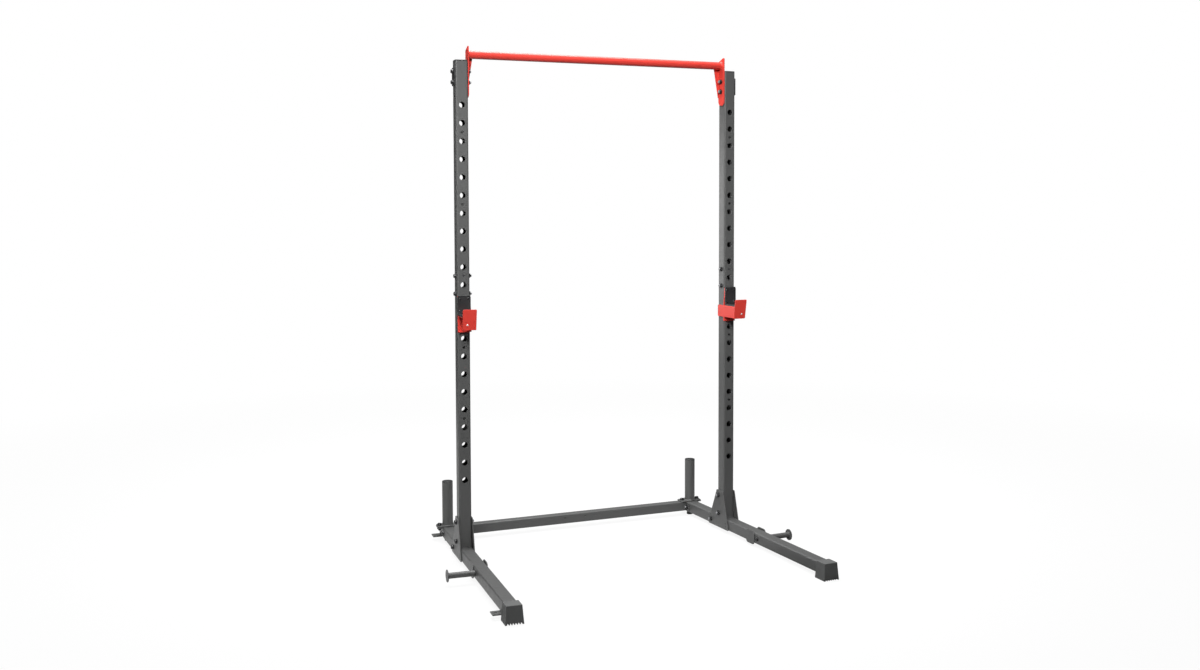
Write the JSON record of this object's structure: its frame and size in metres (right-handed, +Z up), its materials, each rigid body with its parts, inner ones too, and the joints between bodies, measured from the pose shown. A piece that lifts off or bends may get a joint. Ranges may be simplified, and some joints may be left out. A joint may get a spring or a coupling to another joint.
{
  "type": "power rack",
  "caption": "Free-standing squat and pull-up rack: splayed square-tube uprights on long legs, with a pull-up bar, bar hooks, plate posts, band pegs and a rear crossmember.",
  "frame": {"origin": "on the floor, in the middle of the rack's footprint", "axes": "+Z up, +Y to the back, +X to the right of a lifter who faces the rack; the bar hooks face -Y"},
  "size_m": [1.4638, 1.143, 2.028],
  "materials": {
    "graphite_powder_coat": "fine satin powder coat, dark grey",
    "red_powder_coat": "semi-gloss powder coat, warm red",
    "black_plastic": "moulded, lightly textured",
    "dark_rubber": "moulded rubber, matt",
    "black_oxide_steel": "black oxide",
    "plain_steel": "bare tube, hidden inside"
  },
  "bodies": {
    "frame": {"crossmember": "graphite_powder_coat", "left_backing_plate": "black_plastic", "left_band_peg": "graphite_powder_coat", "left_bracket_bolt_1": "black_oxide_steel", "left_bracket_bolt_2": "black_oxide_steel", "left_crossmember_bolt": "black_oxide_steel", "left_front_boot": "dark_rubber", "left_front_leg": "graphite_powder_coat", "left_gusset_bolt_1": "black_oxide_steel", "left_gusset_bolt_2": "black_oxide_steel", "left_gusset_bolt_3": "black_oxide_steel", "left_inner_gusset": "graphite_powder_coat", "left_leg_sleeve": "plain_steel", "left_lower_upright": "graphite_powder_coat", "left_outer_gusset": "graphite_powder_coat", "left_peg_bolt": "black_oxide_steel", "left_post_bolt_inner": "black_oxide_steel", "left_post_bolt_outer": "black_oxide_steel", "left_post_cap": "black_plastic", "left_rear_end_cap": "black_plastic", "left_rear_foot": "dark_rubber", "left_rear_leg": "graphite_powder_coat", "left_splice_bolt_1": "black_oxide_steel", "left_splice_bolt_2": "black_oxide_steel", "left_splice_sleeve": "plain_steel", "left_storage_post": "graphite_powder_coat", "left_upper_upright": "graphite_powder_coat", "left_upright_cap": "black_plastic", "pull_up_bar": "red_powder_coat", "right_backing_plate": "black_plastic", "right_band_peg": "graphite_powder_coat", "right_bracket_bolt_1": "black_oxide_steel", "right_bracket_bolt_2": "black_oxide_steel", "right_crossmember_bolt": "black_oxide_steel", "right_front_boot": "dark_rubber", "right_front_leg": "graphite_powder_coat", "right_gusset_bolt_1": "black_oxide_steel", "right_gusset_bolt_2": "black_oxide_steel", "right_gusset_bolt_3": "black_oxide_steel", "right_inner_gusset": "graphite_powder_coat", "right_leg_sleeve": "plain_steel", "right_lower_upright": "graphite_powder_coat", "right_outer_gusset": "graphite_powder_coat", "right_peg_bolt": "black_oxide_steel", "right_post_bolt_inner": "black_oxide_steel", "right_post_bolt_outer": "black_oxide_steel", "right_post_cap": "black_plastic", "right_rear_end_cap": "black_plastic", "right_rear_foot": "dark_rubber", "right_rear_leg": "graphite_powder_coat", "right_splice_bolt_1": "black_oxide_steel", "right_splice_bolt_2": "black_oxide_steel", "right_splice_sleeve": "plain_steel", "right_storage_post": "graphite_powder_coat", "right_upper_upright": "graphite_powder_coat", "right_upright_cap": "black_plastic"},
    "left_hook": {"left_hook_bracket": "red_powder_coat", "left_hook_liner": "black_plastic"},
    "right_hook": {"right_hook_bracket": "red_powder_coat", "right_hook_liner": "black_plastic"}
  },
  "joints": [
    {"name": "left_hook_pull", "type": "slide", "parent": "frame", "child": "left_hook", "axis": [-0.0523, -0.9986, 0], "range_m": [0, 0.09]},
    {"name": "right_hook_pull", "type": "slide", "parent": "frame", "child": "right_hook", "axis": [0.0523, -0.9986, 0], "range_m": [0, 0.09]}
  ]
}
